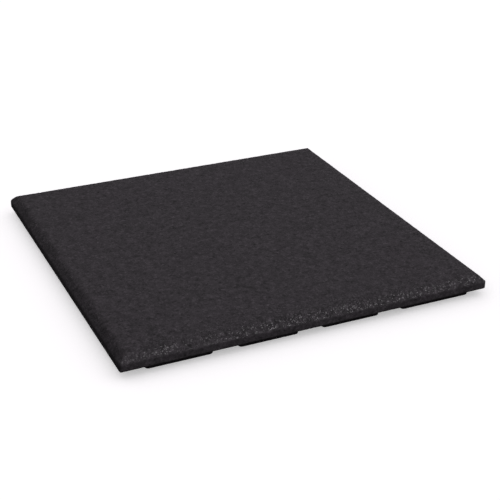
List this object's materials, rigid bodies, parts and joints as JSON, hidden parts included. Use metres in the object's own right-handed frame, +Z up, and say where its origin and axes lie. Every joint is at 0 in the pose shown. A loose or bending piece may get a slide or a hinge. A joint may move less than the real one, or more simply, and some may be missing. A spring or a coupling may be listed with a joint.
{
  "type": "rubber gym floor tile",
  "caption": "Square black rubber floor tile for a gym, with a bevel round its top and low moulded feet that leave drainage channels beneath it.",
  "frame": {"origin": "on the floor, under the middle of the tile", "axes": "+Z up through the tile's thickness, +X along the side that faces the viewer, +Y away from the viewer"},
  "size_m": [0.5, 0.5, 0.03],
  "materials": {
    "granulated_rubber": "matt black pressed rubber granules, finely mottled, with small glints on the bevel"
  },
  "bodies": {
    "root": {"rubber_tile": "granulated_rubber"}
  },
  "joints": []
}
